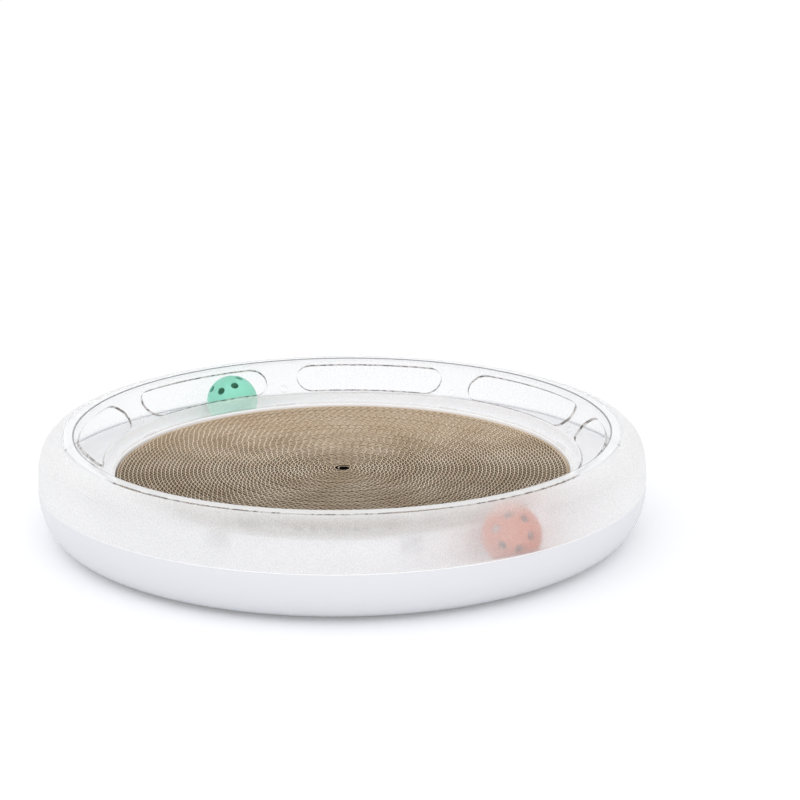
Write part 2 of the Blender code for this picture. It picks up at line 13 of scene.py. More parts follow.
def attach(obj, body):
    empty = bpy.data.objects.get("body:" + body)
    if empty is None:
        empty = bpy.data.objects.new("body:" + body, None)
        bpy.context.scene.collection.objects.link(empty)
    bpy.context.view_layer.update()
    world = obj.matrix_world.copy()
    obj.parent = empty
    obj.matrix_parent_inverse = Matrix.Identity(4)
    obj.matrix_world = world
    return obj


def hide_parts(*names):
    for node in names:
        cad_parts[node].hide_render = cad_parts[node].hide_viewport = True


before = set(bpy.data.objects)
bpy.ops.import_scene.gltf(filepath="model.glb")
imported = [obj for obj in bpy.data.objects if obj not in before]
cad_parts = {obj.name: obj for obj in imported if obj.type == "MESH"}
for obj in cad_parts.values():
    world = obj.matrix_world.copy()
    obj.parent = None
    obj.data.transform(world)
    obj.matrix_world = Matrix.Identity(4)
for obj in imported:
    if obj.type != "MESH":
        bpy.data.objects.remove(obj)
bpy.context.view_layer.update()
LOG = logging.getLogger("cat_scratcher")

# Lengths are in metres, apart from those whose name ends in mm.
GAP = 0.0003
WELD = 1e-6
TURN_SEGMENTS = 256
FIRST_POST = math.radians(15.5)

Profile = list[tuple[float, float]]


class CoverFace(Enum):
    """Which finish a face of the clear cover has, as its place in the list of materials."""

    CLEAR = 0
    GRAINED = 1
    EDGE = 2
    CUT = 3
    FOOT = 4
    SEAM_LINE = 5
    LIP = 6


class BoardFace(Enum):
    """Which sheet of single-face corrugated board a piece is."""

    LINER = "liner"
    FLUTES = "flutes"


def srgb(hex_colour: str) -> tuple[float, float, float, float]:
    """Turn an sRGB hex colour into linear light.

    Args:
        hex_colour: Six hex digits, with or without a leading mark.

    Returns:
        Linear red, green and blue, and an alpha of 1.
    """
    digits = hex_colour.lstrip("#")
    values = [int(digits[i:i + 2], 16) / 255 for i in (0, 2, 4)]
    linear = [v / 12.92 if v <= 0.04045 else ((v + 0.055) / 1.055) ** 2.4 for v in values]
    return (*linear, 1.0)


def add_node(tree: NodeTree, kind: str, inputs: dict | None = None, **settings) -> Node:
    """Add a shader node with its settings and links.

    Args:
        tree: The node tree that gets the node.
        kind: The node's type name.
        inputs: Input name or index, and what feeds it: a value, an output socket, or a
            node, which feeds it from its first output.
        **settings: Properties of the node itself.

    Returns:
        The new node.
    """
    node = tree.nodes.new(kind)
    for name, value in settings.items():
        setattr(node, name, value)
    for key, value in (inputs or {}).items():
        if isinstance(value, Node):
            value = value.outputs[0]
        if isinstance(value, NodeSocket):
            tree.links.new(value, node.inputs[key])
        else:
            node.inputs[key].default_value = value
    return node


def principled(name: str, sockets: dict) -> tuple[Material, NodeTree, Node]:
    """Start a material on the Principled shader.

    Args:
        name: Name of the material.
        sockets: Values that are the same all over the surface, by the shader's own socket.

    Returns:
        The material, its node tree and its shader.
    """
    material = bpy.data.materials.new(name)
    material.use_nodes = True
    shader = material.node_tree.nodes["Principled BSDF"]
    for socket, value in sockets.items():
        shader.inputs[socket].default_value = value
    return material, material.node_tree, shader


def arc(centre: tuple[float, float], radii: tuple[float, float], start: float, end: float,
        steps: int, power: float = 2.0) -> Profile:
    """Points of a superelliptical arc in the (radius, height) plane.

    With t running from start to end: r = cr + ar |cos t|^(2/p) sign(cos t) and
    z = cz + az |sin t|^(2/p) sign(sin t).

    Args:
        centre: Centre radius and height.
        radii: Half axes in radius and height.
        start: First angle in degrees.
        end: Last angle in degrees.
        steps: Number of chords.
        power: 2 for an ellipse, more for a squarer arc.

    Returns:
        The points, in order.
    """
    t = np.radians(np.linspace(start, end, steps + 1))
    c, s = np.cos(t), np.sin(t)
    r = centre[0] + radii[0] * np.sign(c) * np.abs(c) ** (2 / power)
    z = centre[1] + radii[1] * np.sign(s) * np.abs(s) ** (2 / power)
    return list(zip(r.tolist(), z.tolist()))


def on_axis(points: Profile) -> Profile:
    """Put points that rounding leaves just beside the axis onto it."""
    return [(0.0 if abs(r) < WELD else r, z) for r, z in points]


def rounded(points: Profile, radius: float, steps: int = 4) -> Profile:
    """Round the corners of an open profile.

    Each corner B between A and C becomes the curve (1-t)^2 P + 2t(1-t) B + t^2 Q, where P
    and Q lie on the two sides, at most the radius away from B.

    Args:
        points: Corners of the profile.
        radius: How far the rounding reaches along each side.
        steps: Chords in each corner.

    Returns:
        The rounded profile.
    """
    most_of_side = 0.48
    p = [np.array(point) for point in points]
    t = np.linspace(0, 1, steps + 1)[:, None]
    out = [tuple(p[0])]
    for a, b, c in zip(p, p[1:], p[2:]):
        before, after = a - b, c - b
        to_a, to_c = np.linalg.norm(before), np.linalg.norm(after)
        start = b + before / to_a * min(radius, to_a * most_of_side)
        end = b + after / to_c * min(radius, to_c * most_of_side)
        out += [tuple(q) for q in (1 - t) ** 2 * start + 2 * t * (1 - t) * b + t ** 2 * end]
    return out + [tuple(p[-1])]


def in_scene(name: str, data: bpy.types.ID) -> Object:
    """Make an object of some data and link it to the scene."""
    obj = bpy.data.objects.new(name, data)
    bpy.context.scene.collection.objects.link(obj)
    return obj


def plain_object(name: str, verts: np.ndarray, faces: list) -> Object:
    """Put corners and faces into an object as they are.

    Args:
        name: Name of the object and its mesh.
        verts: Corner places, one row each.
        faces: Lists of corner numbers.

    Returns:
        The object.
    """
    mesh = bpy.data.meshes.new(name)
    mesh.from_pydata(np.reshape(verts, (-1, 3)).tolist(), [], faces)
    return in_scene(name, mesh)


def clean(mesh: Mesh, weld: float = 0.0, outwards: bool = False) -> None:
    """Merge doubled corners or turn the faces outwards.

    Args:
        mesh: The mesh that is changed.
        weld: Corners nearer than this are merged, if it is above zero.
        outwards: Whether the faces are turned outwards.
    """
    work = bmesh.new()
    work.from_mesh(mesh)
    if weld:
        bmesh.ops.remove_doubles(work, verts=work.verts, dist=weld)
    if outwards:
        bmesh.ops.recalc_face_normals(work, faces=work.faces)
    work.to_mesh(mesh)
    work.free()


def shade(obj: Object, sharp_degrees: float = 32.0) -> Object:
    """Shade an object smooth, apart from the edges that turn more than an angle.

    Args:
        obj: The object.
        sharp_degrees: The angle.

    Returns:
        The same object.
    """
    obj.data.shade_smooth()
    obj.data.set_sharp_from_angle(angle=math.radians(sharp_degrees))
    return obj


def mesh_object(name: str, verts: np.ndarray, faces: np.ndarray, finish: Material,
                sharp_degrees: float = 32.0) -> Object:
    """Put arrays of corners and four-sided faces into a welded, smooth-shaded object.

    Args:
        name: Name of the object and its mesh.
        verts: Corner places, one row each.
        faces: Corner numbers, one face in each row.
        finish: The material.
        sharp_degrees: Edges that turn more than this stay sharp.

    Returns:
        The object, linked to the scene.
    """
    obj = plain_object(name, verts, faces.tolist())
    clean(obj.data, weld=WELD)
    obj.data.materials.append(finish)
    return shade(obj, sharp_degrees)


def turned(name: str, profile: Profile, finish: Material, closed: bool = False,
           segments: int = TURN_SEGMENTS) -> Object:
    """A profile (r(u), z(u)) turned round the upright axis.

    P(u, v) = (r(u) cos v, r(u) sin v, z(u)), with v going once round. The profile's outer
    side runs from top to bottom, so that the faces point outwards.

    Args:
        name: Name of the object.
        profile: Points of the profile.
        finish: The material.
        closed: Whether the profile's last point joins its first.
        segments: Steps round the axis.

    Returns:
        The object.
    """
    r, z = np.array(profile).T
    v = np.arange(segments) * (math.tau / segments)
    upright = np.broadcast_to(z, (segments, len(z)))
    grid = np.stack([np.outer(np.cos(v), r), np.outer(np.sin(v), r), upright], -1)
    n = len(r)
    i = np.arange(segments)[:, None]
    k = (i + 1) % segments
    j = np.arange(n if closed else n - 1)[None, :]
    m = (j + 1) % n
    faces = np.stack([i * n + j, i * n + m, k * n + m, k * n + j], -1).reshape(-1, 4)
    return mesh_object(name, grid, faces, finish)


def carried(name: str, stations: np.ndarray, finish: Material) -> Object:
    """A four-cornered section carried along a path, with both ends closed.

    P(i, j) is corner j of the section at station i. Corners run outer top, inner top,
    inner bottom, outer bottom, and the path runs anticlockwise seen from above.

    Args:
        name: Name of the object.
        stations: Array of stations, four corners, three coordinates.
        finish: The material.

    Returns:
        The object.
    """
    count, corners, _ = stations.shape
    i = np.arange(count - 1)[:, None] * corners
    j = np.arange(corners)[None, :]
    k = (j + 1) % corners
    sides = np.stack([i + j, i + corners + j, i + corners + k, i + k], -1).reshape(-1, 4)
    last = (count - 1) * corners
    caps = np.array([[3, 0, 1, 2], [last + 3, last + 2, last + 1, last]])
    return mesh_object(name, stations, np.vstack([sides, caps]), finish, sharp_degrees=60.0)


def prism(name: str, outline: np.ndarray, low: float, high: float) -> Object:
    """A convex outline in the (x, y) plane raised from one height to another.

    P(u, w) = (x(u), y(u), low + w (high - low)). The two ends are single flat faces.

    Args:
        name: Name of the object.
        outline: Points (x, y), anticlockwise.
        low: Lower height.
        high: Upper height.

    Returns:
        The object, for cutting or joining.
    """
    n = len(outline)
    i = np.arange(n)
    j = (i + 1) % n
    rings = [np.column_stack([outline, np.full(n, height)]) for height in (low, high)]
    sides = np.column_stack([i, j, n + j, n + i]).tolist()
    ends = [i[::-1].tolist(), (n + i).tolist()]
    return plain_object(name, np.vstack(rings), sides + ends)


def circle(radius: float, sides: int) -> np.ndarray:
    """Points (radius cos u, radius sin u) once round."""
    u = np.arange(sides) * (math.tau / sides)
    return np.column_stack([np.cos(u), np.sin(u)]) * radius


def rectangle(width: float, depth: float) -> np.ndarray:
    """Corners of a rectangle about the origin, anticlockwise."""
    return np.array([(-1, -1), (1, -1), (1, 1), (-1, 1)]) * (width / 2, depth / 2)


def ring_of(piece: Object, count: int, first: float) -> Object:
    """Repeat a piece evenly round the upright axis, inside its own mesh.

    Args:
        piece: The piece, at azimuth zero.
        count: How many there are.
        first: Azimuth of the first one, in radians.

    Returns:
        The same object with all copies.
    """
    work = bmesh.new()
    for i in range(count):
        copy = piece.data.copy()
        copy.transform(Matrix.Rotation(first + i * math.tau / count, 4, "Z"))
        work.from_mesh(copy)
        bpy.data.meshes.remove(copy)
    work.to_mesh(piece.data)
    work.free()
    return piece


def carve(obj: Object, cutter: Object) -> None:
    """Cut one object with another, and remove the other one.

    Args:
        obj: The object that is changed.
        cutter: The object that cuts. Its material goes on the cut faces.
    """
    modifier = obj.modifiers.new(cutter.name, "BOOLEAN")
    modifier.object = cutter
    modifier.operation = "DIFFERENCE"
    modifier.solver = "EXACT"
    modifier.material_mode = "TRANSFER"
    depsgraph = bpy.context.evaluated_depsgraph_get()
    mesh = bpy.data.meshes.new_from_object(obj.evaluated_get(depsgraph), depsgraph=depsgraph)
    obj.modifiers.remove(modifier)
    before = obj.data
    obj.data = mesh
    mesh.name = before.name
    bpy.data.meshes.remove(before)
    bpy.data.objects.remove(cutter, do_unlink=True)


def join(obj: Object, other: Object, finish_place: int) -> Object:
    """Put another object's shells into an object's mesh, and remove the other one.

    Args:
        obj: The object that grows.
        other: The object that is put in.
        finish_place: Place of its finish in the object's list of materials.

    Returns:
        The object that grew.
    """
    work = bmesh.new()
    work.from_mesh(obj.data)
    count = len(work.faces)
    work.from_mesh(other.data)
    work.faces.ensure_lookup_table()
    for face in work.faces[count:]:
        face.material_index = finish_place
    work.to_mesh(obj.data)
    work.free()
    bpy.data.objects.remove(other, do_unlink=True)
    return obj


def place(obj: Object, matrix: Matrix) -> Object:
    """Move an object's mesh, and leave the object itself at the origin."""
    obj.data.transform(matrix)
    return obj


def fit(obj: Object, body: str, slot: str, *nodes: str) -> Object:
    """Tie a finished piece to the CAD.

    Args:
        obj: The piece.
        body: The body that it moves with.
        slot: Its material slot. It is not used.
        *nodes: The CAD nodes that it stands for.

    Returns:
        The same piece.
    """
    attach(obj, body)
    if nodes:
        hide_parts(*nodes)
    LOG.info("%s: %d faces", obj.name, len(obj.data.polygons))
    return obj


@dataclass(frozen=True)
class MouldedPlastic:
    """Injection-moulded plastic: one even colour, glossy, with a barely uneven skin."""

    name: str
    colour: str
    roughness: float = 0.25
    ior: float = 1.54
    cover: float = 1.0
    unevenness: float = 0.02
    wave_mm: float = 18.0
    relief_mm: float = 1.0

    def build(self) -> Material:
        """Mix the plastic.

        The skin's waves are some tens of millimetres long. A cover below 1 is a thin wall
        that lets some light through.

        Returns:
            The material.
        """
        material, tree, shader = principled(self.name, {
            "Base Color": srgb(self.colour), "Roughness": self.roughness, "IOR": self.ior,
            "Alpha": self.cover})
        spot = add_node(tree, "ShaderNodeTexCoord").outputs["Object"]
        waves = add_node(tree, "ShaderNodeTexNoise",
                         {"Vector": spot, "Scale": 1000 / self.wave_mm, "Detail": 1.0})
        bump = add_node(tree, "ShaderNodeBump", {
            "Height": waves, "Strength": self.unevenness, "Distance": self.relief_mm / 1000})
        tree.links.new(bump.outputs["Normal"], shader.inputs["Normal"])
        return material


@dataclass(frozen=True)
class ClearPlastic:
    """Clear moulded polystyrene: thin, glossy, a little milky, seen mainly by its edges."""

    name: str
    colour: str
    cover: float
    bent: float = 0.0
    roughness: float = 0.04
    ior: float = 1.5

    def build(self) -> Material:
        """Mix the plastic.

        The cover is the share of the light that the face holds back or bends, and the bent
        share of it passes on, as through glass. The rest goes straight through.

        Returns:
            The material.
        """
        return principled(self.name, {
            "Base Color": srgb(self.colour), "Roughness": self.roughness, "IOR": self.ior,
            "Transmission Weight": self.bent, "Alpha": self.cover})[0]


@dataclass(frozen=True)
class CutEdge:
    """Trimmed edge of clear polystyrene: painted pale and brown streaks stand for the board beside
    it, which the edge shows by refraction.
    """

    name: str
    pale: str
    dark: str
    streak_mm: float = 4.5
    streak_share: tuple[float, float] = (0.42, 0.56)
    cover: float = 0.85
    roughness: float = 0.15

    def build(self) -> Material:
        """Mix the edge. Each streak is a few millimetres long and runs through the wall.

        Returns:
            The material.
        """
        material, tree, shader = principled(
            self.name, {"Roughness": self.roughness, "Alpha": self.cover})
        low, high = self.streak_share
        spot = add_node(tree, "ShaderNodeTexCoord").outputs["Object"]
        streaks = add_node(tree, "ShaderNodeTexNoise",
                           {"Vector": spot, "Scale": 1000 / self.streak_mm, "Detail": 1.0})
        share = add_node(tree, "ShaderNodeMapRange",
                         {"Value": streaks, "From Min": low, "From Max": high})
        colour = add_node(tree, "ShaderNodeMix", {
            "Factor": share, 6: srgb(self.dark), 7: srgb(self.pale)}, data_type="RGBA")
        tree.links.new(colour.outputs[2], shader.inputs["Base Color"])
        return material


@dataclass(frozen=True)
class FrostedPlastic:
    """Clear plastic with a fine moulded grain on its outside: milky, and shapes blur through it.

    Each pair of slants or heights is where a share starts and stops to change.
    """

    name: str
    colour: str
    blurred: float = 0.62
    through: float = 0.45
    slanted: float = 0.35
    cover: float = 0.62
    slanted_cover: float = 0.92
    cover_slants: tuple[float, float] = (0.04, 0.5)
    blur_slants: tuple[float, float] = (0.3, 0.7)
    through_slants: tuple[float, float] = (0.5, 0.8)
    thick_heights: tuple[float, float] = (0.0665, 0.0715)
    thick_slant: float = 0.2
    roughness: float = 0.36
    ior: float = 1.1
    grain_mm: float = 0.9
    relief_mm: float = 0.08
    grain_range: tuple[float, float] = (0.3, 0.7)
    grain_cover: float = 0.13

    def build(self) -> Material:
        """Mix the plastic.

        Part of the light scatters white in the grain, back or through, part is blurred by
        it, and the share that the cover leaves open passes straight through. Seen at a
        slant, more grain lies in the way, as in any frosted glass: the cover rises and less
        light is blurred or passed on. Near the lip the plastic is thicker, which has the
        same effect as some more slant. Real grain is a tenth of a millimetre and doesn't
        show, so it is drawn coarser.

        Returns:
            The material.
        """
        material, tree, shader = principled(self.name, {
            "Base Color": srgb(self.colour), "Roughness": self.roughness, "IOR": self.ior})
        spot = add_node(tree, "ShaderNodeTexCoord").outputs["Object"]
        grain = add_node(tree, "ShaderNodeTexNoise",
                         {"Vector": spot, "Scale": 1000 / self.grain_mm, "Detail": 1.0})
        facing = add_node(tree, "ShaderNodeLayerWeight", {"Blend": 0.5}).outputs["Facing"]
        height = add_node(tree, "ShaderNodeSeparateXYZ", {"Vector": spot}).outputs["Z"]
        thick = add_node(tree, "ShaderNodeMapRange", {
            "Value": height, "From Min": self.thick_heights[0],
            "From Max": self.thick_heights[1], "To Max": self.thick_slant})
        slant = add_node(tree, "ShaderNodeMath", {0: facing, 1: thick}, operation="ADD")
        shares = [
            add_node(tree, "ShaderNodeMapRange", {
                "Value": slant, "From Min": slants[0], "From Max": slants[1],
                "To Min": straight, "To Max": slanted})
            for slants, straight, slanted in (
                (self.cover_slants, self.cover, self.slanted_cover),
                (self.blur_slants, self.blurred, self.slanted),
                (self.through_slants, self.through, self.slanted))]
        speckle = add_node(tree, "ShaderNodeMapRange", {
            "Value": grain, "From Min": self.grain_range[0], "From Max": self.grain_range[1],
            "To Min": 1.0 - self.grain_cover, "To Max": 1.0 + self.grain_cover})
        held = add_node(tree, "ShaderNodeMath", {0: shares[0], 1: speckle},
                        operation="MULTIPLY", use_clamp=True)
        bump = add_node(tree, "ShaderNodeBump", {
            "Height": grain, "Strength": 1.0, "Distance": self.relief_mm / 1000})
        for socket, source in (("Alpha", held), ("Transmission Weight", shares[1]),
                               ("Normal", bump)):
            tree.links.new(source.outputs[0], shader.inputs[socket])
        clear = add_node(tree, "ShaderNodeBsdfTransparent")
        milk = add_node(tree, "ShaderNodeBsdfTranslucent", {"Color": srgb(self.colour)})
        passed = add_node(tree, "ShaderNodeMixShader", {0: held, 1: clear, 2: milk})
        both = add_node(tree, "ShaderNodeMixShader", {0: shares[2], 1: shader, 2: passed})
        tree.links.new(both.outputs[0], tree.nodes["Material Output"].inputs["Surface"])
        return material


@dataclass(frozen=True)
class KraftBoard:
    """Raw kraft paper board, cut on edge: dull, brown, with pale and dark fibres."""

    name: str
    pale: str
    dark: str
    side: str
    gap_shade: str
    top: float = 0.0437
    bottom: float = 0.0135
    outside: float = 0.1705
    # Painted shade: below each cut edge the sheets' sides darken to the near-black gap colour,
    # between these two depths.
    shade_depth: float = 0.0007
    unshaded_band: float = 0.0001
    cut_tilts: tuple[float, float] = (0.4, 0.7)
    fibre_mm: float = 0.9
    patches_per_metre: float = 28.0
    fleck_range: tuple[float, float] = (0.75, 1.25)
    # Along Y and the patches: the colour darkens towards the front, and the painted gap shade fades
    # towards the back.
    patch_reach: float = 0.12
    darkening_range: tuple[float, float] = (-0.02, 0.16)
    back_fade_range: tuple[float, float] = (0.08, 0.17)
    front_darkness: float = 0.42
    back_fade_most: float = 0.8
    roughness: float = 0.9
    specular: float = 0.2

    def build(self) -> Material:
        """Mix the board.

        Fibre flecks are about a millimetre long. The cut edges, whose normals point up or
        down, are scuffed and pale, and paler than the sides also as painted light. The
        sheets' sides are browner, and inside the winding painted shade darkens them the
        deeper they lie. Along Y and large patches, the colour is darker towards the front,
        and towards the back the painted shade in the gaps fades.

        Returns:
            The material.
        """
        material, tree, shader = principled(
            self.name, {"Roughness": self.roughness, "Specular IOR Level": self.specular})
        spot = add_node(tree, "ShaderNodeTexCoord").outputs["Object"]
        along = add_node(tree, "ShaderNodeSeparateXYZ", {"Vector": spot})

        flecks = add_node(tree, "ShaderNodeTexNoise",
                          {"Vector": spot, "Scale": 1000 / self.fibre_mm, "Detail": 2.0})
        patches = add_node(tree, "ShaderNodeTexNoise",
                           {"Vector": spot, "Scale": self.patches_per_metre, "Detail": 2.0})
        mixed = add_node(tree, "ShaderNodeMath", {0: flecks, 1: patches}, operation="ADD")
        ramp = add_node(tree, "ShaderNodeMapRange", {
            "Value": mixed, "From Min": self.fleck_range[0], "From Max": self.fleck_range[1]})
        edge = add_node(tree, "ShaderNodeMix", {
            "Factor": ramp, 6: srgb(self.dark), 7: srgb(self.pale)}, data_type="RGBA")

        # Along Y, shifted by the patches: the colour is darker towards the front, and towards the
        # back the painted shade in the gaps fades.
        front_to_back = add_node(tree, "ShaderNodeMath", {
            0: patches, 1: self.patch_reach, 2: along.outputs["Y"]}, operation="MULTIPLY_ADD")
        front_darkening = add_node(tree, "ShaderNodeMapRange", {
            "Value": front_to_back, "From Min": self.darkening_range[0], "From Max": self.darkening_range[1],
            "To Min": 1.0 - self.front_darkness})
        back_fade = add_node(tree, "ShaderNodeMapRange", {
            "Value": front_to_back, "From Min": self.back_fade_range[0], "From Max": self.back_fade_range[1],
            "To Max": self.back_fade_most})

        # Painted shade: the sides darken towards the near-black gap colour the deeper they lie
        # below a cut edge, except the outermost side, which lies open to the light.
        middle, half = (self.top + self.bottom) / 2, (self.top - self.bottom) / 2
        from_middle = add_node(tree, "ShaderNodeMath",
                               {0: along.outputs["Z"], 1: middle}, operation="SUBTRACT")
        either_way = add_node(tree, "ShaderNodeMath", {0: from_middle}, operation="ABSOLUTE")
        rise = add_node(tree, "ShaderNodeMapRange", {
            "Value": either_way, "From Min": half - self.shade_depth,
            "From Max": half - self.unshaded_band})
        flat = add_node(tree, "ShaderNodeVectorMath",
                        {0: spot, 1: (1.0, 1.0, 0.0)}, operation="MULTIPLY")
        out = add_node(tree, "ShaderNodeVectorMath", {0: flat}, operation="LENGTH")
        open_side = add_node(tree, "ShaderNodeMath", {0: out.outputs["Value"], 1: self.outside},
                             operation="GREATER_THAN")
        lit = add_node(tree, "ShaderNodeMath", {0: rise, 1: open_side}, operation="MAXIMUM")
        side = add_node(tree, "ShaderNodeMix", {
            "Factor": lit, 6: srgb(self.gap_shade), 7: srgb(self.side)}, data_type="RGBA")
        # Towards the back the painted gap shade fades to the plain side colour.
        faded_side = add_node(tree, "ShaderNodeMix", {
            "Factor": back_fade, 6: side.outputs[2], 7: srgb(self.side)}, data_type="RGBA")

        # The faces that point up or down are the cut edges: pale as scuffed cut fibres, and paler
        # than the sides also as painted light from above.
        normal = add_node(tree, "ShaderNodeNewGeometry").outputs["True Normal"]
        tilt = add_node(tree, "ShaderNodeSeparateXYZ", {"Vector": normal}).outputs["Z"]
        upward = add_node(tree, "ShaderNodeMath", {0: tilt}, operation="ABSOLUTE")
        cut = add_node(tree, "ShaderNodeMapRange", {
            "Value": upward, "From Min": self.cut_tilts[0], "From Max": self.cut_tilts[1]})
        tops_and_sides = add_node(tree, "ShaderNodeMix", {
            "Factor": cut, 6: faded_side.outputs[2], 7: edge.outputs[2]}, data_type="RGBA")
        final = add_node(tree, "ShaderNodeVectorMath",
                         {0: tops_and_sides.outputs[2], "Scale": front_darkening}, operation="SCALE")
        tree.links.new(final.outputs[0], shader.inputs["Base Color"])
        return material


@dataclass(frozen=True)
class PlainMetal:
    """Pressed or turned metal: bright, with soft reflections."""

    name: str
    colour: str
    roughness: float = 0.28

    def build(self) -> Material:
        """Return the material."""
        return principled(self.name, {
            "Base Color": srgb(self.colour), "Roughness": self.roughness, "Metallic": 1.0})[0]


@dataclass
class BaseShell:
    """White bowl-shaped lower shell with its ribs, bottom panel and foot pockets."""

    seam_radius: float = 0.2300
    seam_height: float = 0.0400
    stand_radius: float = 0.2060
    underside: float = 0.0030
    belly_power: float = 2.1
    wall: float = 0.0025
    rim_edge: float = 0.0004
    panel_radius: float = 0.1480
    panel_rise: float = 0.0020
    panel_slope: float = 0.0040
    rib_radii: tuple[float, float] = (0.1600, 0.2030)
    rib_tops: tuple[float, float] = (0.0109, 0.0227)
    rib_thickness: float = 0.0020
    foot_count: int = 8
    foot_ring: float = 0.1800
    foot_radius: float = 0.0080
    foot_edge: float = 0.0006
    foot_pocket: float = 0.0015
    foot_sides: int = 40
    first_azimuth: float = FIRST_POST

    def profile(self) -> Profile:
        """Section from the middle of the plate, over the rim and back along the underside.

        Returns:
            Its points.
        """
        plate = self.underside + self.wall
        panel = plate + self.panel_rise
        slope_start = self.panel_radius - self.panel_slope
        inside = [(0.0, panel), (slope_start, panel), (self.panel_radius, plate)]
        for radius, top in zip(self.rib_radii, self.rib_tops):
            far = radius + self.rib_thickness
            inside += [(radius, plate), (radius, top), (far, top), (far, plate)]
        belly, drop = self.seam_radius - self.stand_radius, self.seam_height - self.underside
        centre = (self.stand_radius, self.seam_height)
        inner = arc(centre, (belly - self.wall, drop - self.wall), -90, 0, 20)
        outer = arc(centre, (belly, drop), 0, -90, 36, self.belly_power)
        edge = [(self.seam_radius - self.rim_edge, self.seam_height)]
        outer[0] = (self.seam_radius, self.seam_height - self.rim_edge)
        hollow = self.underside + self.panel_rise
        below = [(self.panel_radius, self.underside), (slope_start, hollow), (0.0, hollow)]
        return inside + inner + edge + outer + below

    def build_shell(self, finish: Material) -> Object:
        """Turn the shell and cut the foot pockets.

        Args:
            finish: White plastic.

        Returns:
            The shell.
        """
        shell = turned("base_shell_fine", self.profile(), finish)
        pocket = prism("pocket", circle(self.foot_radius + GAP, self.foot_sides),
                       self.underside - self.foot_pocket, self.underside + self.foot_pocket)
        place(pocket, Matrix.Translation((self.foot_ring, 0, 0)))
        carve(shell, ring_of(pocket, self.foot_count, self.first_azimuth))
        return fit(shade(shell), "base", "base_plastic", "base_shell")

    def build_feet(self, finish: Material) -> None:
        """Make the round rubber feet, each with a rounded edge.

        Args:
            finish: Grey rubber.
        """
        top = self.underside + self.foot_pocket - GAP
        corners = [(0.0, top), (self.foot_radius, top), (self.foot_radius, 0.0), (0.0, 0.0)]
        section = rounded(corners, self.foot_edge)
        for i in range(self.foot_count):
            azimuth = self.first_azimuth + i * math.tau / self.foot_count
            foot = turned(f"foot_{i + 1}_fine", section, finish, segments=self.foot_sides)
            place(foot, Matrix.Translation((
                self.foot_ring * math.cos(azimuth), self.foot_ring * math.sin(azimuth), 0)))
            fit(foot, "base", "foot_rubber", f"foot_{i + 1}")


@dataclass
class TrackTray:
    """White moulding: pad recess, thin divider wall and the floor of the ball track."""

    wall: float = 0.0020
    floor_height: float = 0.0250
    fillet: float = 0.0120
    rim_radius: float = 0.2270
    rim_height: float = 0.0396
    divider_radius: float = 0.1752
    divider_height: float = 0.0457
    draft: float = 0.0006
    edge: float = 0.00112
    recess_radius: float = 0.1727
    pad_floor: float = 0.0132

    def build(self, finish: Material) -> Object:
        """Turn the section from the pad floor, over divider and track, and back below.

        Args:
            finish: White plastic.

        Returns:
            The tray.
        """
        centre = (self.rim_radius - self.wall - self.fillet, self.floor_height + self.fillet)
        foot = self.divider_radius + self.draft
        top = rounded([
            (0.0, self.pad_floor),
            (self.recess_radius, self.pad_floor),
            (self.recess_radius, self.divider_height),
            (self.divider_radius, self.divider_height),
            (foot, self.floor_height),
            (centre[0], self.floor_height),
        ], self.edge)[:-1]
        side = arc(centre, (self.fillet, self.fillet), -90, 0, 16)
        rim = [(self.rim_radius - self.wall, self.rim_height), (self.rim_radius, self.rim_height)]
        outer = self.fillet + self.wall
        outside = arc(centre, (outer, outer), 0, -90, 16)
        below = [
            (foot, self.floor_height - self.wall),
            (self.divider_radius, self.pad_floor - self.wall),
            (0.0, self.pad_floor - self.wall),
        ]
        tray = turned("track_tray_fine", top + side + rim + outside + below, finish)
        return fit(tray, "base", "tray_plastic", "track_tray")


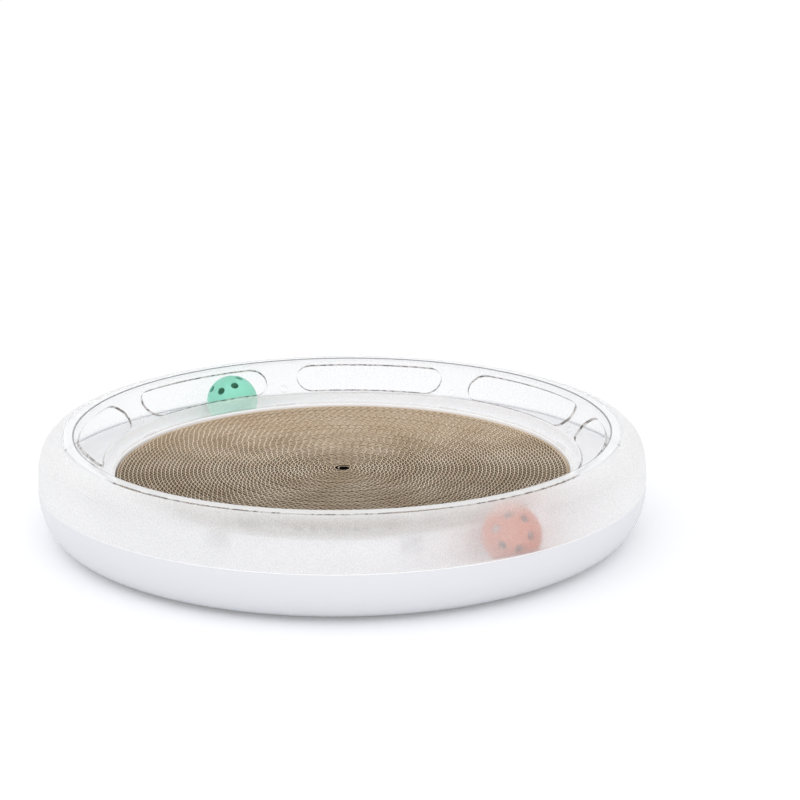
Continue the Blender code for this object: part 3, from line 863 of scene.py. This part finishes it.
@dataclass
class ClearCover:
    """Clear ring-shaped tunnel with eight windows, post holes and clips."""

    wall: float = 0.0020
    seam_radius: float = 0.2300
    edge_height: float = 0.0401
    seam_edge: float = 0.0006
    crown_radius: float = 0.2060
    crown_height: float = 0.0766
    crown_power: float = 2.8
    lip_outer: float = 0.2093
    lip_inner: float = 0.2027
    lip_height: float = 0.0772
    lip_slope: float = 0.0012
    lip_foot: float = 0.0004
    lip_sink: float = 0.00005
    lip_rounding: float = 0.0007
    edge_side: float = 0.0006
    foot_radius: float = 0.1800
    foot_top: float = 0.0540
    foot_rounding: float = 0.0006
    flange_inner: float = 0.1732
    flange_height: float = 0.0460
    flange_thickness: float = 0.0020
    window_count: int = 8
    first_azimuth: float = FIRST_POST
    post_half_angle: float = math.radians(4.0)
    window_sill: float = 0.0015
    window_head: float = 0.0055
    window_steps: tuple[int, int] = (16, 20)
    reach: float = 0.0050
    hole_radius: float = 0.0032
    hole_rise: float = 0.0050
    clip_inner: float = 0.1760
    clip_size: tuple[float, float] = (0.0018, 0.0160)
    clip_depth: float = 0.0120
    clip_root: float = 0.0002

    def slope(self) -> tuple[float, float]:
        """Length and angle of the sloped wall between its foot and the lip."""
        run = self.lip_inner - self.foot_radius
        rise = self.lip_height - self.wall / 2 - self.foot_top
        return math.hypot(run, rise), math.atan2(rise, run)

    def profile(self) -> tuple[Profile, np.ndarray]:
        """Closed section: lip, crown outside, crown inside, sloped wall and foot flange.

        Returns:
            The section, and the kind of face that each of its sides makes.
        """
        half = self.wall / 2
        belly, rise = self.seam_radius - self.crown_radius, self.crown_height - self.edge_height
        centre = (self.crown_radius, self.edge_height)
        lip_start, lip_under = self.lip_inner - half, self.lip_height - half
        lip = rounded([
            (lip_start - self.lip_slope, lip_under - self.lip_slope),
            (lip_start, lip_under),
            (self.lip_inner, self.lip_height),
            (self.lip_outer, self.lip_height),
            (self.lip_outer + self.lip_foot, self.crown_height - self.lip_sink),
        ], self.lip_rounding, 3)[1:]
        crown = arc(centre, (belly, rise), 82, 0, 34, self.crown_power)
        crown.insert(-1, (self.seam_radius, self.edge_height + self.seam_edge))
        inside = arc(centre, (belly - self.wall, rise - self.wall), 0, 84, 26, self.crown_power)
        flange_top = self.flange_height + self.flange_thickness
        foot = rounded([
            inside[-1],
            (self.lip_inner + half, self.crown_height - self.wall),
            (self.foot_radius + half, self.foot_top - 0.4 * half),
            (self.foot_radius + half, self.flange_height),
            (self.flange_inner, self.flange_height),
            (self.flange_inner, flange_top),
            (self.foot_radius - half, flange_top),
            (self.foot_radius - half, self.foot_top + 0.4 * half),
            lip[0],
        ], self.foot_rounding, 3)[1:-1]
        points = lip + crown + inside + foot
        return points, self.kinds(np.array(points), len(lip), len(lip) + len(crown) - 2)

    def kinds(self, corners: np.ndarray, crown_start: int, crown_end: int) -> np.ndarray:
        """Say which kind of face each side of the section makes.

        Args:
            corners: The section's corners.
            crown_start: First side of the crown's outside.
            crown_end: Last side of the crown's outside, along the seam.

        Returns:
            The value of each side's CoverFace.
        """
        after = np.roll(corners, -1, axis=0)
        short = np.linalg.norm(after - corners, axis=1) < self.edge_side
        lowest = np.minimum(corners[:, 1], after[:, 1])
        highest = np.maximum(corners[:, 1], after[:, 1])
        inner = corners[:, 0] < (self.lip_inner + self.lip_outer) / 2.0
        on_lip = lowest > self.lip_height - self.edge_side
        falls = ~inner & (lowest > self.crown_height - 2 * self.lip_sink)
        on_foot = (highest < self.foot_top + self.wall / 2) & (corners[:, 0] < self.crown_radius)
        kinds = np.full(len(corners), CoverFace.CLEAR.value, np.int32)
        kinds[on_lip & short & inner] = CoverFace.EDGE.value
        kinds[(on_lip & ~short) | falls] = CoverFace.LIP.value
        kinds[on_foot] = CoverFace.FOOT.value
        kinds[crown_start:crown_end] = CoverFace.GRAINED.value
        # The side along the seam gets the painted white highlight line.
        kinds[crown_end] = CoverFace.SEAM_LINE.value
        return kinds

    def window_cutter(self, edge: Material) -> Object:
        """A long round-ended slot, wrapped on the sloped wall.

        With s along the slope and q round it, the outline is two half circles joined by
        straights, and P = (r cos a, r sin a, z) with a = step/2 + q/middle radius,
        r = r0 + s cos k - w sin k and z = z0 + s sin k + w cos k, w through the wall.

        Args:
            edge: Material of the cut face.

        Returns:
            The cutter of one window.
        """
        length, tilt = self.slope()
        low, high = self.window_sill, length - self.window_head
        middle, end = (low + high) / 2, (high - low) / 2
        step = math.tau / self.window_count
        radius = self.foot_radius + middle * math.cos(tilt)
        straight = radius * (step / 2 - self.post_half_angle) - end
        bends, runs = self.window_steps
        u = np.linspace(-math.pi / 2, math.pi / 2, bends + 1)
        back = np.linspace(straight, -straight, runs + 2)[1:-1]
        onward = np.linspace(-straight, straight, runs + 2)[1:-1]
        q = np.concatenate([straight + end * np.cos(u), back,
                            -straight - end * np.cos(u), onward, [0.0]])
        s = np.concatenate([middle + end * np.sin(u), np.full(runs, middle + end),
                            middle - end * np.sin(u), np.full(runs, middle - end), [middle]])
        w = np.array([-self.reach, self.reach])[:, None]
        a = step / 2 + q / radius
        r = self.foot_radius + s * math.cos(tilt) - w * math.sin(tilt)
        z = self.foot_top + s * math.sin(tilt) + w * math.cos(tilt)
        n = len(q) - 1
        i = np.arange(n)
        j = (i + 1) % n
        sides = np.column_stack([i, j, n + 1 + j, n + 1 + i]).tolist()
        lower = np.column_stack([j, i, np.full(n, n)]).tolist()
        upper = np.column_stack([n + 1 + i, n + 1 + j, np.full(n, 2 * n + 1)]).tolist()
        faces = [face for three in zip(sides, lower, upper) for face in three]
        cutter = plain_object("window", np.stack([r * np.cos(a), r * np.sin(a), z], -1), faces)
        clean(cutter.data, outwards=True)
        cutter.data.materials.append(edge)
        return cutter

    def hole_cutter(self, edge: Material) -> Object:
        """A round hole through the sloped wall, near its foot.

        Args:
            edge: Material of the cut face.

        Returns:
            The cutter of one hole.
        """
        hole = prism("hole", circle(self.hole_radius, 32), -self.reach, self.reach)
        hole.data.materials.append(edge)
        tilt = self.slope()[1]
        place(hole, Matrix.Rotation(-tilt, 4, "Y"))
        return place(hole, Matrix.Translation((
            self.foot_radius + self.hole_rise * math.cos(tilt), 0,
            self.foot_top + self.hole_rise * math.sin(tilt))))

    def clip(self) -> Object:
        """One clip: a tongue that drops from the flange, just outside the divider wall."""
        piece = prism("clip", rectangle(*self.clip_size), self.flange_height - self.clip_depth,
                      self.flange_height + self.clip_root)
        return place(piece, Matrix.Translation((self.clip_inner + self.clip_size[0] / 2, 0, 0)))

    def build(self, finishes: dict[CoverFace, Material]) -> Object:
        """Turn the cover, cut its windows and holes, and join its clips.

        Args:
            finishes: The finish of each kind of face.

        Returns:
            The cover.
        """
        section, kinds = self.profile()
        cover = turned("track_cover_fine", section, finishes[CoverFace.CLEAR], closed=True)
        for kind in list(CoverFace)[1:]:
            cover.data.materials.append(finishes[kind])
        cover.data.polygons.foreach_set("material_index", np.tile(kinds, TURN_SEGMENTS))
        for cutter in (self.window_cutter(finishes[CoverFace.CUT]),
                       self.hole_cutter(finishes[CoverFace.FOOT])):
            carve(cover, ring_of(cutter, self.window_count, self.first_azimuth))
        clips = ring_of(self.clip(), self.window_count, self.first_azimuth)
        join(cover, clips, CoverFace.FOOT.value)
        return fit(shade(cover), "cover", "clear_plastic", "track_cover")


@dataclass
class WoundPad:
    """Pad wound from one long strip of single-face corrugated board, standing on edge."""

    radius: float = 0.1724
    core: float = 0.0035
    bottom: float = 0.0135
    top: float = 0.0437
    layer: float = 0.00305
    flute: float = 0.0064
    liner_thick: float = 0.00064
    flute_thick: float = 0.00060
    flute_slack: float = 0.00002
    flute_drop: float = 0.0001
    pressed: float = 0.0018
    end_azimuth: float = math.radians(-20.0)
    uneven: float = 0.00035
    liner_step: float = 0.0032
    steps_in_flute: int = 6
    steps_in_turn: int = 400

    def path(self, step: float) -> tuple[np.ndarray, np.ndarray, np.ndarray]:
        """Even steps along the middle of the wound liner, from its outer end to the core.

        The strip's end is pressed flat, so that the first turn falls by the pressed
        thickness and each later turn by a full layer p: r = R - pressed a / (2 pi), and then
        r = R - pressed - p (a / (2 pi) - 1). Lengths along it are the running sum of r da.

        Args:
            step: Distance between stations.

        Returns:
            Radii, angles and lengths along the strip.
        """
        start = self.radius - self.liner_thick / 2
        turns = (start - self.pressed - self.core) / self.layer + 1
        angle = np.linspace(0.0, turns * math.tau, int(turns * self.steps_in_turn))
        fall = np.interp(angle / math.tau, [0.0, 1.0, turns],
                         [0.0, self.pressed, start - self.core])
        r = start - fall
        s = np.concatenate([[0.0], np.cumsum((r[1:] + r[:-1]) / 2 * np.diff(angle))])
        even = np.arange(0.0, s[-1], step)
        return np.interp(even, s, r), np.interp(even, s, angle), even

    def strip(self, name: str, r: np.ndarray, angle: np.ndarray, thick: float,
              finish: Material, drop: float) -> Object:
        """Give a line some thickness and carry it from the pad's bottom to its top.

        The side lines are C(i) + n(i) thick/2 and C(i) - n(i) thick/2, where n is the unit
        normal of the line C, and the top height wanders by the strip's uneven edge.

        Args:
            name: Name of the object.
            r: Radius at each station.
            angle: Angle at each station.
            thick: Thickness of the sheet.
            finish: Kraft board.
            drop: How much lower the top edge lies than the pad's top.

        Returns:
            The sheet.
        """
        a = angle + self.end_azimuth
        centre = np.column_stack([r * np.cos(a), r * np.sin(a)])
        tangent = np.gradient(centre, axis=0)
        tangent /= np.linalg.norm(tangent, axis=1)[:, None]
        normal = np.column_stack([tangent[:, 1], -tangent[:, 0]]) * thick / 2
        wander = 0.5 + 0.25 * np.sin(angle * 0.73 + 1.0) + 0.25 * np.sin(angle * 2.61)
        high = self.top - drop - self.uneven * wander
        low = np.full(len(r), self.bottom)
        outer, inner = centre + normal, centre - normal
        corners = [np.column_stack([line, height]) for line, height in
                   ((outer, high), (inner, high), (inner, low), (outer, low))]
        return carried(name, np.stack(corners, 1), finish)

    def build(self, finishes: dict[BoardFace, Material]) -> None:
        """Make the liner and, between its turns, the flutes in two lengths.

        The flutes follow r = liner - room/2 + h sin(2 pi s / flute + drift), where the drift
        is a slow sum of two sines, so that the flutes of neighbouring turns don't line up,
        and the room between two turns grows from the pressed end to a full layer.

        Args:
            finishes: Kraft board for each sheet.
        """
        r, angle, _ = self.path(self.liner_step)
        pieces = [self.strip("pad_liner", r, angle, self.liner_thick,
                             finishes[BoardFace.LINER], 0.0)]
        r, angle, s = self.path(self.flute / self.steps_in_flute)
        inside = r > self.core + self.layer * 1.5
        r, angle, s = r[inside], angle[inside], s[inside]
        room = np.interp(angle, [0.0, math.tau], [self.pressed, self.layer])
        height = (room - self.liner_thick - self.flute_thick) / 2 - self.flute_slack
        drift = 0.8 * np.sin(angle * 0.13 + 0.4) + 0.5 * np.sin(angle * 0.41)
        r = r - room / 2 + np.maximum(height, 0.0) * np.sin(math.tau * s / self.flute + drift)
        half = len(r) // 2
        for name, part in (("pad_flutes_outer", slice(0, half + 1)),
                           ("pad_flutes_inner", slice(half, None))):
            pieces.append(self.strip(name, r[part], angle[part], self.flute_thick,
                                     finishes[BoardFace.FLUTES], self.flute_drop))
        for piece in pieces:
            fit(piece, "pad", "cardboard", "scratch_pad")


@dataclass
class TrackBall:
    """Hollow ball of two half shells, with a bell and its pellet inside."""

    colour_name: str
    azimuth: float
    turn: tuple[float, float, float]
    radius: float = 0.0210
    wall: float = 0.0016
    track_radius: float = 0.2047
    height: float = 0.0463
    lap: float = 0.0009
    hole_count: int = 6
    hole_radius: float = 0.0032
    hole_polar: float = math.radians(36.0)
    hole_first: float = math.radians(10.0)
    bell_radius: float = 0.0080
    bell_wall: float = 0.0007
    bell_clearance: float = 0.0008
    bell_slot: float = 0.0016
    pellet_radius: float = 0.0022

    def centre(self) -> Vector:
        """Where the ball rests in the track."""
        return Vector((self.track_radius * math.cos(self.azimuth),
                       self.track_radius * math.sin(self.azimuth), self.height))

    def profiles(self) -> dict[str, Profile]:
        """Sections of the half with a lip and the half with a rebate, poles upwards.

        Returns:
            The section of each half.
        """
        inner = self.radius - self.wall
        step, edge = inner + self.wall / 2, GAP / 2
        outside = arc((0, 0), (self.radius, self.radius), 90, 0, 24)[:-1] + [(self.radius, edge)]
        inside = arc((0, 0), (inner, inner), 0, 90, 24)[1:]
        lip = [(step - edge, edge), (step - edge, -self.lap), (inner, -self.lap), (inner, edge)]
        rebate_top = self.lap + GAP
        rebate = [(step + edge, edge), (step + edge, rebate_top), (inner, rebate_top)]
        return {"upper": outside + lip + inside, "lower": outside + rebate + inside}

    def build_shells(self, finish: Material, slot: str) -> None:
        """Turn the two halves, cut their holes and put them in place.

        Args:
            finish: The ball's plastic.
            slot: Its material slot.
        """
        stand = Matrix.Translation(self.centre()) @ Euler(self.turn).to_matrix().to_4x4()
        flips = {"upper": 0.0, "lower": math.pi}
        ball = f"{self.colour_name}_ball"
        for half, section in self.profiles().items():
            shell = turned(f"{ball}_{half}_fine", on_axis(section), finish, segments=72)
            hole = prism("hole", circle(self.hole_radius, 28), self.radius * 0.5, self.radius * 1.5)
            place(hole, Matrix.Rotation(self.hole_polar, 4, "Y"))
            carve(shell, ring_of(hole, self.hole_count, self.hole_first))
            place(shell, stand @ Matrix.Rotation(flips[half], 4, "X"))
            fit(shade(shell), ball, slot, f"{ball}_{half}")

    def build_bell(self, brass: Material, steel: Material) -> None:
        """Turn the bell's two skins, cut its slot and lay the pellet in it.

        Args:
            brass: The bell's metal.
            steel: The pellet's metal.
        """
        name, inner = f"{self.colour_name}_bell", self.bell_radius - self.bell_wall
        fall = self.radius - self.wall - self.bell_radius - self.bell_clearance
        low = self.centre() - Vector((0, 0, fall))
        outside = on_axis(arc((0, 0), (self.bell_radius,) * 2, 90, -90, 28))
        inside = on_axis(arc((0, 0), (inner,) * 2, -90, 90, 24))
        bell = join(turned(f"{name}_fine", outside, brass, segments=40),
                    turned("bell_inside", inside, brass, segments=40), 0)
        carve(bell, prism("slot", rectangle(4 * self.bell_radius, self.bell_slot),
                          self.bell_radius / 2, self.bell_radius * 1.5))
        place(bell, Matrix.Translation(low))
        fit(shade(bell), f"{name}_body", "bell_metal", name)
        ball = on_axis(arc((0, 0), (self.pellet_radius,) * 2, 90, -90, 14))
        pellet = turned(f"{self.colour_name}_pellet_fine", ball, steel, segments=24)
        rest = Vector((0, 0, inner - self.pellet_radius - GAP))
        place(pellet, Matrix.Translation(low - rest))
        fit(pellet, f"{name}_body", "pellet_metal", f"{name}_pellet")


@dataclass(frozen=True)
class PhotoCamera:
    """Camera at the photograph's place, found from the object's outlines."""

    focal_px: float = 2300.6
    frame_px: float = 800.0
    place: tuple[float, float, float] = (0.0, -1.6748, 0.5665)
    pitch: float = 0.2734
    yaw: float = -0.0259
    roll: float = 0.0021
    sensor_mm: float = 36.0

    def build(self) -> Object:
        """Put up the camera.

        Returns:
            The scene's camera.
        """
        turn = (Matrix.Rotation(self.yaw, 3, "Z") @ Matrix.Rotation(-self.pitch, 3, "X")
                @ Matrix.Rotation(self.roll, 3, "Y"))
        right, forward, up = turn.col
        data = bpy.data.cameras.new("camera")
        data.sensor_width = self.sensor_mm
        data.lens = self.focal_px * self.sensor_mm / self.frame_px
        data.clip_start, data.clip_end = 0.05, 50.0
        camera = in_scene("camera", data)
        axes = Matrix((right, up, -forward)).transposed().to_4x4()
        camera.matrix_world = Matrix.Translation(self.place) @ axes
        bpy.context.scene.camera = camera
        return camera


@dataclass(frozen=True)
class Studio:
    """White floor, even white surroundings and two large soft lamps."""

    ambient: float = 1.0
    lamp_size: float = 1.6
    key_watts: float = 4.0
    key_place: tuple[float, float, float] = (-1.3, -0.3, 1.7)
    fill_watts: float = 7.0
    fill_place: tuple[float, float, float] = (0.5, -2.2, 0.9)
    aim_height: float = 0.04
    floor_side: float = 24.0
    floor_colour: str = "#F4F5F6"
    seen_colour: str = "#EAEBEE"
    floor_glow: float = 0.18

    def build_world(self) -> None:
        """Surroundings that light the object evenly and show white behind it."""
        world = bpy.data.worlds.new("studio")
        world.use_nodes = True
        bpy.context.scene.world = world
        tree = world.node_tree
        tree.nodes.clear()
        rays = add_node(tree, "ShaderNodeLightPath").outputs
        seen = add_node(tree, "ShaderNodeMath", {
            0: rays["Is Camera Ray"], 1: rays["Is Glossy Ray"]}, operation="MAXIMUM")
        through = add_node(tree, "ShaderNodeMath", {
            0: seen, 1: rays["Is Transmission Ray"]}, operation="MAXIMUM")
        light, white = (
            add_node(tree, "ShaderNodeBackground", {"Color": (1, 1, 1, 1), "Strength": strength})
            for strength in (self.ambient, 1.0))
        mixed = add_node(tree, "ShaderNodeMixShader", {0: through, 1: light, 2: white})
        add_node(tree, "ShaderNodeOutputWorld", {"Surface": mixed})

    def build_floor(self) -> Object:
        """A pale floor that shows white and keeps the object's shadow.

        Returns:
            The floor.
        """
        material = bpy.data.materials.new("pale_floor")
        material.use_nodes = True
        tree = material.node_tree
        tree.nodes.clear()
        rays = add_node(tree, "ShaderNodeLightPath").outputs
        seen = add_node(tree, "ShaderNodeMath", {
            0: rays["Is Camera Ray"], 1: rays["Is Transmission Ray"]}, operation="MAXIMUM")
        glow = add_node(tree, "ShaderNodeMath", {0: seen, 1: self.floor_glow},
                        operation="MULTIPLY")
        colour = add_node(tree, "ShaderNodeMix", {
            "Factor": seen, 6: srgb(self.floor_colour), 7: srgb(self.seen_colour)},
            data_type="RGBA")
        matt = add_node(tree, "ShaderNodeBsdfDiffuse", {"Color": colour.outputs[2]})
        shine = add_node(tree, "ShaderNodeEmission", {"Color": (1, 1, 1, 1), "Strength": glow})
        both = add_node(tree, "ShaderNodeAddShader", {0: matt, 1: shine})
        add_node(tree, "ShaderNodeOutputMaterial", {"Surface": both})
        corners = rectangle(self.floor_side, self.floor_side)
        floor = plain_object("floor", np.column_stack([corners, np.zeros(4)]), [(0, 1, 2, 3)])
        floor.data.materials.append(material)
        return floor

    def add_lamp(self, name: str, watts: float, at: tuple[float, float, float]) -> None:
        """Hang one square soft lamp that faces the object.

        Args:
            name: Name of the lamp.
            watts: Its power.
            at: Its place.
        """
        data = bpy.data.lights.new(name, "AREA")
        data.energy = watts
        data.size = self.lamp_size
        lamp = in_scene(name, data)
        lamp.location = at
        lamp.rotation_mode = "QUATERNION"
        away = Vector(at) - Vector((0, 0, self.aim_height))
        lamp.rotation_quaternion = away.to_track_quat("Z", "Y")

    def build(self) -> None:
        """Set up the world, the floor, the lamps and the plain view transform."""
        bpy.context.scene.view_settings.view_transform = "Standard"
        self.build_world()
        self.build_floor()
        self.add_lamp("key", self.key_watts, self.key_place)
        self.add_lamp("fill", self.fill_watts, self.fill_place)


def cover_finishes() -> dict[CoverFace, Material]:
    """Clear polystyrene, as each kind of face of the cover shows it.

    Returns:
        The finish of each kind of face.
    """
    finishes = {
        # Polished wall: almost nothing of it shows but its gloss.
        CoverFace.CLEAR: ClearPlastic("clear_polystyrene", "#F6F7F9", cover=0.07),
        # Moulded grain on the crown's outside: milky, and shapes blur through it.
        CoverFace.GRAINED: FrostedPlastic("grained_polystyrene", "#FCFCFC"),
        # Rounded inner edge of the lip: dark grey paint stands for the thin grey line into which
        # the edge gathers the surroundings, a painted reflection.
        CoverFace.EDGE: ClearPlastic(
            "clear_polystyrene_edge_painted_line", "#66696E", cover=0.88, bent=0.3, roughness=0.2),
        # Trimmed window edges: painted pale and brown streaks, for the board that the edges show by
        # refraction.
        CoverFace.CUT: CutEdge("clear_polystyrene_cut_painted_streaks", "#CFCCC8", "#4A3A2E"),
        # Foot, holes and clips, seen through more plastic: a thin painted white veil, which stands
        # for the stacked plastic's reflections and lightens the shade behind it.
        CoverFace.FOOT: ClearPlastic("clear_polystyrene_foot_painted_veil", "#FDFDFE", cover=0.26),
        # Flat top of the lip, seen along its length: a pale band, a painted highlight.
        CoverFace.LIP: ClearPlastic("clear_polystyrene_lip_painted_band", "#F4F5F7", cover=0.72),
        # Lower edge on the seam: a thin white line, a painted highlight.
        CoverFace.SEAM_LINE: ClearPlastic("clear_polystyrene_painted_seam_line", "#FDFDFE", cover=0.95),
    }
    return {face: finish.build() for face, finish in finishes.items()}


def main() -> None:
    """Dress the scratcher: base, tray, pad, cover, balls, camera and studio."""
    logging.basicConfig(level=logging.INFO, format="%(name)s: %(message)s")
    # White ABS, polished outside and a little duller on the track. The tray's colour is whiter than
    # the shell's, as painted light in the track that the cover shades.
    shell_white = MouldedPlastic("white_abs_gloss", "#DFE0E5").build()
    tray_white = MouldedPlastic("white_abs_tray", "#FAFAFC", roughness=0.32).build()
    # Rubber: dull grey.
    rubber = MouldedPlastic("grey_rubber", "#55565A", roughness=0.8).build()
    # Thin polypropylene: satin, and light glows through it.
    mint, coral = (
        MouldedPlastic(name, colour, roughness=0.35, ior=1.49, cover=0.86).build()
        for name, colour in (("mint_polypropylene", "#9CEDD4"), ("coral_polypropylene", "#DA7A54")))
    # Pressed brass and turned steel: bright, hidden in the balls.
    brass = PlainMetal("bell_brass", "#D9B56A").build()
    steel = PlainMetal("pellet_steel", "#A9AAAC").build()
    # Raw kraft board: pale scuffed edges, partly painted light, over near-black painted shade in
    # the gaps.
    liner = KraftBoard("kraft_liner", "#FBEAD3", "#E8D0B2", "#A08362", "#060301").build()
    fluting = KraftBoard("kraft_fluting", "#F8E6CE", "#E2C9A9", "#9C7F5E", "#050301").build()

    base = BaseShell()
    base.build_shell(shell_white)
    base.build_feet(rubber)
    TrackTray().build(tray_white)
    WoundPad().build({BoardFace.LINER: liner, BoardFace.FLUTES: fluting})
    ClearCover().build(cover_finishes())
    for name, azimuth, turn, plastic in (("green", 116.8, (11.0, -18.0, 0.0), mint),
                                         ("pink", -55.6, (58.0, -34.0, 20.0), coral)):
        x, y, z = (math.radians(angle) for angle in turn)
        ball = TrackBall(name, math.radians(azimuth), (x, y, z))
        ball.build_shells(plastic, f"{name}_plastic")
        ball.build_bell(brass, steel)
    PhotoCamera().build()
    Studio().build()


if __name__ == "__main__":
    main()
